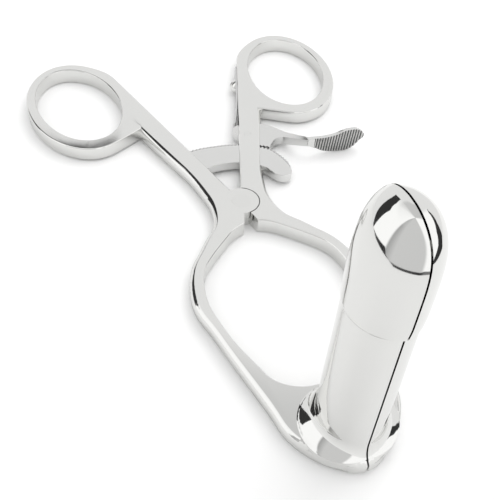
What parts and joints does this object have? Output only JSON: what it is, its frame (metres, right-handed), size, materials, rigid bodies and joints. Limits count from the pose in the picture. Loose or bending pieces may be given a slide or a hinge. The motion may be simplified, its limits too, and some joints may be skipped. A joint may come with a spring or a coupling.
{
  "type": "ratchet speculum",
  "caption": "Hinged steel speculum: finger rings, curved toothed bar with a thumb-release pawl lever, and a two-part oval blade that opens as the handles are squeezed.",
  "frame": {"origin": "centre of the hinge at the underside of the arms", "axes": "+Z along the hinge axis, the way the blades stand; +Y from the hinge towards the finger rings; +X towards the arm that carries the release lever"},
  "size_m": [0.123, 0.1957, 0.0869],
  "materials": {
    "arm_steel": "polished",
    "blade_steel": "mirror polished",
    "bar_steel": "fine satin",
    "lever_steel": "satin",
    "pin_steel": "polished",
    "spring_steel": "satin"
  },
  "bodies": {
    "left_half": {"left_arm": "arm_steel", "left_blade": "blade_steel", "ratchet_bar": "bar_steel", "hinge_pin": "pin_steel"},
    "right_half": {"right_arm": "arm_steel", "right_blade": "blade_steel", "lever_pin": "pin_steel", "leaf_spring": "spring_steel", "spring_screw": "pin_steel"},
    "release": {"release_lever": "lever_steel"}
  },
  "joints": [
    {"name": "hinge", "type": "hinge", "parent": "left_half", "child": "right_half", "pos_m": [0, 0, 0], "axis": [0, 0, 1], "range_deg": [0, 27.5]},
    {"name": "release_turn", "type": "hinge", "parent": "right_half", "child": "release", "pos_m": [0.014, 0.0332, 0.003], "axis": [0, 0, 1], "range_deg": [-5, 6], "stiffness_Nm_per_rad": 0.2}
  ]
}
